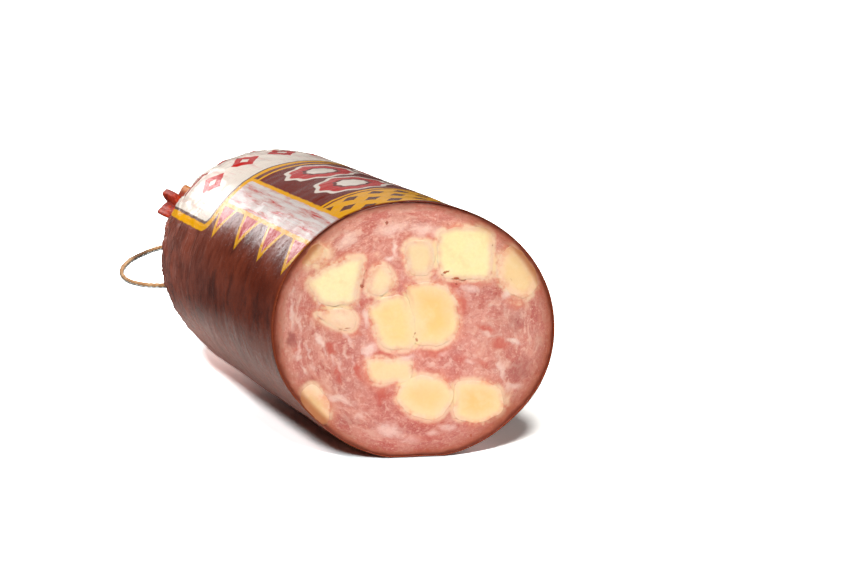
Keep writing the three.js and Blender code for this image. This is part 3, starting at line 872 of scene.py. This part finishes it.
DARK = [(-6.6, 28.8, 0.35, 0.45, 0, 1), (13.1, 13.2, 0.75, 0.35, -8, 1), (10, 15.1, 0.7, 0.3, 24, 0.8),
        (-13.8, 12.3, 0.5, 0.45, 0, 0.9), (14.3, -28.7, 0.5, 0.4, 60, 0.7), (21, 22, 0.25, 0.25, 0, 0.6),
        (-18.6, 6.1, 0.4, 0.4, 0, 0.8), (11.2, 12.2, 0.3, 0.3, 0, 0.8), (-29.3, 11.6, 0.6, 0.7, 0, 0.4),
        (18.6, 11, 0.3, 0.3, 0, 0.6), (21.8, 10.8, 0.3, 0.3, 0, 0.6), (-18, 0.7, 0.8, 0.25, 0, 0.6)]
SMEARED = [(-24.6, 20, 4.2, 2.6, 38, 0.85), (27, 8, 3.4, 2, -50, 0.7), (24, -20.5, 1.3, 3.6, -14, 0.8),
           (-21, 3.2, 4.6, 2.4, -8, 0.6), (-24.6, -19, 2.6, 4.6, 8, 0.6), (-9, 20, 1.2, 1.4, 0, 0.4),
           (4.4, 18.6, 1.6, 4.2, -6, 0.5), (-8.8, 13.6, 3.4, 3.8, 0, 0.5)]


def blur_at(places):
    """How far each place of the face is moved aside, so that patches have uneven edges."""
    return noise_pair(places, 1.8 * MM, 51) * 0.9 * MM + noise_pair(places, 0.8 * MM, 53) * 0.35 * MM


def patches(places, blur, spots, soft):
    """How strongly each place of the face lies in one of the patches, 0 to 1."""
    mask = np.zeros(len(places))
    for u, v, half_length, half_width, turn, strength in spots:
        from_spot = (places + blur * min(1, half_width)) / MM - (u, v)
        cos, sin = math.cos(math.radians(turn)), math.sin(math.radians(turn))
        ahead = (from_spot[:, 0] * cos + from_spot[:, 1] * sin) / half_length
        aside = (from_spot[:, 1] * cos - from_spot[:, 0] * sin) / half_width
        mask = np.maximum(mask, strength * smooth(1 + soft, 1 - soft, np.hypot(ahead, aside)))
    return mask


# the grain's own places: thinner towards the skin, so that the lean lies along it
blur = blur_at(face)
reach = np.hypot(*face.T)
drawn = reach + np.maximum(reach - 23 * MM, 0)**2 * 45
grain = face / np.maximum(reach, MM)[:, None] * drawn[:, None] + blur * 0.5
around = np.degrees(np.arctan2(face[:, 1], face[:, 0]))
rim_width = 1.15 + sum(by * np.exp(-(((around - at + 180) % 360 - 180) / spread)**2)
                      for at, spread, by in ((42, 34, 0.9), (-45, 42, 1.1), (190, 50, 1.0)))
rim = np.exp(-from_rim / (rim_width * MM))
smoked = np.exp(-(from_rim / (5.2 * MM))**2) * (0.25 + 0.6 * np.exp(-((around + 15) / 65)**2))


def attribute(name, output="Fac"):
    return add_node("ShaderNodeAttribute", attribute_name=name).outputs[output]


# what both the meat and the cheese show where they meet, so that the seam between them is soft
seam_group = bpy.data.node_groups.new("seam_of_meat_and_cheese", "ShaderNodeTree")
for socket, direction, kind in (("Place", "INPUT", "Vector"), ("Colour", "OUTPUT", "Color"),
                                ("Reach", "OUTPUT", "Float")):
    seam_group.interface.new_socket(socket, in_out=direction, socket_type="NodeSocket" + kind)
tree = seam_group
place = add_node("NodeGroupInput").outputs["Place"]
tone = noise_value(place, 210, 3, 0.6)
fleck = noise_value(place, 1100, 3, 0.6)
creamy_pink = mix(ramp(tone, 0.38, 0.55), (228, 140, 114), (247, 206, 174))
creamy_pink = tinted(creamy_pink, ((246, 220, 188), fleck, 0.45, 0.7, 0.45))
uneven = ramp(times_plus(fleck, 0.5, tone), 0.55, 0.9, 0.72, 1.2)
add_node("NodeGroupOutput", {"Colour": creamy_pink, "Reach": uneven})


def with_seam(colour, share):
    """The colour with the seam's own laid over it, near the meat or the cheese beside it."""
    seam = add_node("ShaderNodeGroup", {"Place": solid}, node_tree=seam_group).outputs
    return tinted(colour, (seam["Colour"], times(share, seam["Reach"]), 0.0, 1.0, 0.9))


meat_material, tree, shader = new_material(
    "sausage_meat", Subsurface_Weight=0.22, Subsurface_Scale=1.0 * MM, Specular_IOR_Level=0.45,
    Subsurface_Radius=(1.0, 0.42, 0.28))
solid = object_place()
grain_place = attribute("grain", "Vector")
pulled = wandered(grain_place, 260.0, 5.5 * MM)
drift_place = attribute("drift", "Vector")
outer = attribute("outer")


def marbling(scale, detail, distortion):
    """Soft noise that runs along the skin in the outer part and any way in the middle."""
    inner, along = (noise_value(p, scale, detail, 0.55, distortion) for p in (pulled, drift_place))
    return add_node("ShaderNodeMix", {"Factor": outer, "A": inner, "B": along}).outputs[0]


def cells(feature, output):
    inputs = {"Vector": pulled, "Scale": 250}
    return add_node("ShaderNodeTexVoronoi", inputs, feature=feature).outputs[output]


broad = marbling(90, 3, 0.4)
streaky = marbling(270, 4, 0.5)
patchy = marbling(170, 3, 0.8)
clouds = noise_value(solid, 120, 3, 0.55)
fine = noise_value(grain_place, 700, 3, 0.6)
grainy = noise_value(grain_place, 1700, 3, 0.6)
lean, fatty, _ = axes(cells("F1", "Color"))
vein_width = ramp(noise_value(grain_place, 160, 2), 0.45, 0.7, 0.01, 0.16)
vein = maths("DIVIDE")(cells("DISTANCE_TO_EDGE", "Distance"), vein_width)

colour = mix(ramp(broad, 0.38, 0.62), (202, 120, 110), (220, 148, 134))
colour = tinted(
    colour,
    ((202, 140, 130), clouds, 0.48, 0.66, 0.55),
    ((194, 102, 94), lean, 0.3, 1.0, 0.5),
    ((230, 168, 150), fatty, 0.4, 1.0, 0.45),
    ((190, 92, 82), patchy, 0.5, 0.3, 0.75),
    ((236, 188, 172), streaky, 0.5, 0.7, 0.8),
    ((186, 94, 90), streaky, 0.46, 0.3, 0.5),
    ((238, 192, 176), vein, 1.0, 0.1, 0.25),
    ((240, 192, 174), fine, 0.52, 0.7, 0.6),
    ((182, 90, 80), fine, 0.46, 0.3, 0.45),
    ((236, 180, 162), grainy, 0.4, 0.75, 0.35),
    ((250, 222, 206), grainy, 0.63, 0.72, 0.6),
    ((158, 74, 62), grainy, 0.34, 0.26, 0.55))

# the patches of the face, the border of each cube, and the cheese smeared past it
red = times(attribute("red"), ramp(streaky, 0.3, 0.62, 0.55, 1.0))
colour = mix(times(red, 0.85), colour, (202, 88, 74))
colour = mix(times(attribute("mauve"), 0.75), colour, (158, 80, 76))
halo = times(attribute("halo"), ramp(clouds, 0.35, 0.6, 0.1, 0.45))
colour = mix(halo, colour, (222, 122, 96))
colour = with_seam(colour, attribute("near_cheese"))
colour = mix(times(attribute("creamy"), 0.8), colour, (248, 212, 164))
fat = times(attribute("fat"), ramp(grainy, 0.2, 0.6, 0.7, 1.0))
colour = mix(fat, colour, (246, 210, 198))

# painted light and shade: the face is darker below and brighter above, as the light falls on it; it is also
# duller at its sides, and smoked brown towards its rim
shade = mix(attribute("low"), (1, 1, 1, 1), (0.8, 0.75, 0.74, 1))
colour = mix(1.0, colour, shade, "MULTIPLY")
colour = mix(attribute("aside"), colour, (0.94, 0.99, 0.95, 1), "MULTIPLY")
colour = mix(attribute("high"), colour, (1.1, 1.14, 1.08, 1), "MULTIPLY")
smoked_share = times_plus(minus(patchy, 0.5), 0.9, attribute("smoked"))
colour = mix(ramp(smoked_share, 0.05, 0.95), colour, (0.76, 0.6, 0.57, 1), "MULTIPLY")
rim_share = times_plus(minus(streaky, 0.5), 0.65, attribute("rim"))
colour = tinted(colour, ((158, 82, 54), rim_share, 0.06, 0.6, 0.72),
                ((114, 44, 20), rim_share, 0.5, 0.9, 0.95),
                ((158, 66, 40), attribute("dark"), 0.2, 0.8, 0.8))
wet = ramp(noise_value(solid, 420, 3), 0.35, 0.7, 0.34, 0.55)
relief = bumps((fine, 0.1, 0.45), (streaky, 0.22, 0.5), (grainy, 0.08, 0.55))
put_into(shader, {"Base Color": colour, "Roughness": wet, "Normal": relief})

filling = object_from("meat_filling", meat, meat_material)
near_cheese = np.maximum(smooth(1.8 * MM, -0.3 * MM, from_cube), patches(face, blur, SMEARED, 0.7))
round_skin = face / np.maximum(reach, MM)[:, None] * 24 * MM
broken = 0.35 + 0.65 * smooth(-0.35, 0.15, noise_on(face, 1.1 * MM, 43))
store(
    filling.data,
    grain=np.column_stack([grain, grain[:, 0] * 0]),
    drift=np.column_stack([round_skin, reach * 2.2]),
    outer=smooth(17 * MM, 27 * MM, reach),
    rim=rim,
    smoked=smoked,
    # duller at the sides; painted light above and painted shade below
    aside=smooth(8 * MM, 26 * MM, np.abs(face[:, 0])),
    high=smooth(10 * MM, 25 * MM, face[:, 1]),
    low=smooth(-6 * MM, -32 * MM, face[:, 1]),
    near_cheese=np.clip(near_cheese, 0, 1),
    creamy=smooth(1.3 * MM, 0.5 * MM, from_second),
    halo=smooth(3.4 * MM, 0.6 * MM, from_cube),
    fat=patches(face, blur, FAT, 0.75),
    red=patches(face, blur, RED, 0.5),
    mauve=patches(face, blur, MAUVE, 0.7),
    dark=np.maximum(patches(face, blur, DARK, 0.3), crack * 0.52 * broken))
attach(filling, "root")
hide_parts("meat")

# ---------------------------------------------------------------- cheese cubes
# Thirteen cubes of firm yellow cheese, cut through by the knife. They bulge a little out
# of the meat and grow paler and glassy towards their edges, where the meat holds them.
CUBE_DEPTH = 12.5 * MM
CUBE_CELL = 0.36 * MM
CUBE_PROUD = 0.07 * MM
CUBE_BEVEL = 1 * MM
# the colour of each cube's middle, and how many millimetres in from its edge it is reached
CORES = {
    "cheese_top_right": ((253, 238, 180), 2.2),
    "cheese_top_middle": ((248, 220, 172), 2.4),
    "cheese_left": ((253, 239, 186), 2.6),
    "cheese_small": ((249, 224, 180), 2.4),
    "cheese_middle_left": ((249, 216, 150), 3.6),
    "cheese_middle_right": ((249, 208, 135), 5.0),
    "cheese_right_edge": ((242, 210, 156), 3.0),
    "cheese_left_slab": ((243, 212, 180), 2.4),
    "cheese_lower_small": ((248, 217, 168), 1.8),
    "cheese_bottom_middle": ((247, 205, 143), 4.4),
    "cheese_bottom_right": ((244, 199, 132), 4.4),
    "cheese_lower_left": ((238, 200, 150), 2.4),
    "cheese_upper_left": ((236, 200, 150), 2.2),
}
# how wide a cube's soft edge is, in millimetres, and that of the cubes that the knife has smeared
SOFT_EDGE = 2.1
SOFT_EDGES = {"cheese_upper_left": 4.4, "cheese_lower_left": 4.4, "cheese_right_edge": 3.6,
              "cheese_left_slab": 3.0, "cheese_small": 2.8, "cheese_top_middle": 2.6}
# small marks left by the knife: (u, v, half length, half width, turn, strength)
NICKS = [(8.6, 15.4, 0.9, 0.25, 24, 0.9), (7.4, 14.6, 0.6, 0.2, 10, 0.6), (11.3, 13.6, 0.7, 0.3, -14, 1),
         (10, 13.4, 0.6, 0.2, 4, 0.7), (0.1, -0.6, 0.4, 0.3, 40, 0.5), (0.5, -2.4, 0.35, 0.5, 0, 0.6),
         (-0.3, -1.6, 0.3, 0.3, 0, 0.4), (25.7, 12.9, 0.25, 0.6, 12, 0.35), (-17.8, 1.2, 0.9, 0.2, 0, 0.6)]

cheese_material, tree, shader = new_material(
    "cheese", Subsurface_Weight=0.25, Subsurface_Scale=1.4 * MM, Specular_IOR_Level=0.4,
    Subsurface_Radius=(1.0, 0.75, 0.3))
solid = object_place()
core = attribute("core", "Vector")
cloudy = noise_value(solid, 260, 4, 0.55)
curdy = noise_value(solid, 1300, 3, 0.6)
pale = mix(0.55, core, (251, 228, 194))
edge_in = times_plus(minus(cloudy, 0.5), 0.9, attribute("depth"))
colour = with_seam(mix(ramp(edge_in, 0.0, 1.15), pale, core), attribute("near_meat"))
colour = tinted(colour, ((252, 236, 202), cloudy, 0.5, 0.72, 0.25),
                ((240, 196, 128), cloudy, 0.46, 0.3, 0.22), ((234, 188, 122), curdy, 0.3, 0.75, 0.14))
smoked_share = times(attribute("smoked"), ramp(cloudy, 0.3, 0.6, 0.4, 0.8))
colour = mix(smoked_share, colour, (206, 158, 96))
colour = tinted(colour, ((164, 92, 52), attribute("smoked"), 0.55, 1.0, 0.8),
                ((172, 70, 22), attribute("nicked"), 0.1, 0.75, 0.9))
put_into(shader, {"Base Color": colour, "Roughness": ramp(cloudy, 0.3, 0.7, 0.34, 0.5),
                  "Normal": bumps((cloudy, 0.16, 0.4), (curdy, 0.05, 0.5))})

for seed, (name, loop) in enumerate(outlines.items(), 71):
    middle = loop[:-1].mean(axis=0)
    turn = np.unwrap(np.arctan2(*(loop - middle).T[::-1]))
    span = np.hypot(*(loop - middle).T)
    if turn[-1] < turn[0]:
        turn, span = turn[::-1], span[::-1]
    cells_across = round(2 * span.mean() / CUBE_CELL)
    cube = bmesh.new()
    bmesh.ops.create_grid(cube, x_segments=cells_across, y_segments=cells_across, size=1)
    disc = square_to_disc(np.array([v.co[:2] for v in cube.verts]))
    angle = np.arctan2(disc[:, 1], disc[:, 0])
    angle = turn[0] + (angle - turn[0]) % (2 * math.pi)
    place = middle + disc * np.interp(angle, turn, span)[:, None]
    inward = -outline_distance(place, loop)
    others = [other for other in outlines.values() if other is not loop]
    from_others = np.min([outline_distance(place, other) for other in others], axis=0)
    flat = [(u, v, seed * 0.1) for u, v in place]
    height = knife_swell(place)
    bulge = CUBE_PROUD + noise_on(flat, 4 * MM, 81) * 0.1 * MM + noise_on(flat, 1.3 * MM, 82) * 0.03 * MM
    bulge *= smooth(-0.6 * MM, 1.4 * MM, from_others)
    height += bulge * smooth(0.1 * MM, 1.5 * MM, inward)
    height += 0.05 * MM * smooth(0, 0.3 * MM, inward) - 0.02 * MM
    x, z = place[:, 0] * math.cos(CUT_YAW), place[:, 1]
    for vert, px, pz, up in zip(cube.verts, x, z, height):
        vert.co = (px, cut_y + cut_at(px, pz) - up, AXIS_HEIGHT + pz)
    back = open_edges(cube)
    centre = Vector((middle[0] * math.cos(CUT_YAW), 0, AXIS_HEIGHT + middle[1]))
    for step, size in ((CUBE_DEPTH / 2, 1), (CUBE_DEPTH / 2 - CUBE_BEVEL, 1), (CUBE_BEVEL, 0.8)):
        back, ring = drawn_on(cube, back)
        bmesh.ops.translate(cube, verts=ring, vec=(0, step, 0))
        for vert in ring:
            vert.co.x = centre.x + (vert.co.x - centre.x) * size
            vert.co.z = centre.z + (vert.co.z - centre.z) * size
            # no cube comes near the casing behind the cut
            up = vert.co.z - AXIS_HEIGHT
            around = np.array([math.atan2(up / HALF_HEIGHT, vert.co.x / HALF_WIDTH)])
            room = math.hypot(*np.ravel(skin(around, around * 0, FILM + 1.5 * MM)))
            held_in = min(1, room / math.hypot(vert.co.x, up))
            vert.co.x *= held_in
            vert.co.z = AXIS_HEIGHT + up * held_in
    bmesh.ops.holes_fill(cube, edges=back)
    bmesh.ops.recalc_face_normals(cube, faces=cube.faces)
    block = object_from(name.replace("cheese", "cheese_cube"), cube, cheese_material)
    tint, deep = CORES[name]
    held = 0.1 + 0.9 * smooth(0.2 * MM, 1.6 * MM, from_others)
    near_meat = smooth(SOFT_EDGES.get(name, SOFT_EDGE) * MM, -0.2 * MM, inward) * held
    rim_x, rim_z = skin(np.arctan2(z / HALF_HEIGHT, x / HALF_WIDTH), 0 * x, MEAT_INSET)
    from_rim = np.hypot(rim_x, rim_z) - np.hypot(x, z)
    store(
        block.data,
        core=np.tile(srgb(*tint)[:3], (len(place), 1)),
        depth=np.clip(inward / (deep * MM), 0, 1),
        near_meat=np.maximum(near_meat, smooth(3 * MM, 0.8 * MM, from_rim)),
        nicked=patches(place, blur_at(place), NICKS, 0.3),
        smoked=smooth(5 * MM, 0.6 * MM, from_rim))
    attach(block, "root")
    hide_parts(name)

# ---------------------------------------------------------------- clip
# The closing clip: a length of soft aluminium wire, bent round the bunched film and pressed
# shut, so that its ends lie past each other. It is pressed flat above and below.
clip_low, clip_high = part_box("clip")
clip_middle = (clip_low + clip_high) / 2
WIRE_RADIUS = 1.12 * MM
CLIP_RADIUS = 4.75 * MM
CLIP_SWEEP = math.radians(415)
CLIP_PRESS = 5.45 * MM
CLIP_SHIFT = 2.6 * MM
CLIP_STEPS = 96
CLIP_TURN = Matrix.Rotation(math.radians(60), 3, "Y")

wire = bmesh.new()
bmesh.ops.create_circle(wire, segments=20, radius=WIRE_RADIUS)
bmesh.ops.translate(wire, verts=wire.verts, vec=(CLIP_RADIUS, -CLIP_SHIFT / 2, 0))
bmesh.ops.spin(wire, geom=wire.edges[:], cent=(0, 0, 0), axis=(0, 1, 0), angle=CLIP_SWEEP,
               steps=CLIP_STEPS, dvec=(0, CLIP_SHIFT / CLIP_STEPS, 0))
bmesh.ops.holes_fill(wire, edges=open_edges(wire))
bmesh.ops.rotate(wire, verts=wire.verts, cent=(0, 0, 0), matrix=CLIP_TURN)
bmesh.ops.scale(wire, verts=wire.verts, vec=(1.08, 1, 1))
for vert in wire.verts:
    vert.co.z = max(-CLIP_PRESS, min(CLIP_PRESS, vert.co.z))
bmesh.ops.translate(wire, verts=wire.verts, vec=clip_middle)
bmesh.ops.recalc_face_normals(wire, faces=wire.faces)

clip_material, tree, shader = new_material("clip_aluminium", Metallic=1.0)
solid = object_place()
scuff = noise_value(solid, 900, 4, 0.6)
drawn_lines = noise_value(solid, 3200, 2)
put_into(shader, {"Base Color": mix(scuff, (206, 206, 208), (172, 172, 176)),
                  "Roughness": ramp(scuff, 0.3, 0.7, 0.24, 0.46),
                  "Normal": bumps((scuff, 0.08, 0.5), (drawn_lines, 0.02, 0.5))})
clip = object_from("clip_wire", wire, clip_material)
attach(clip, "root")
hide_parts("clip")
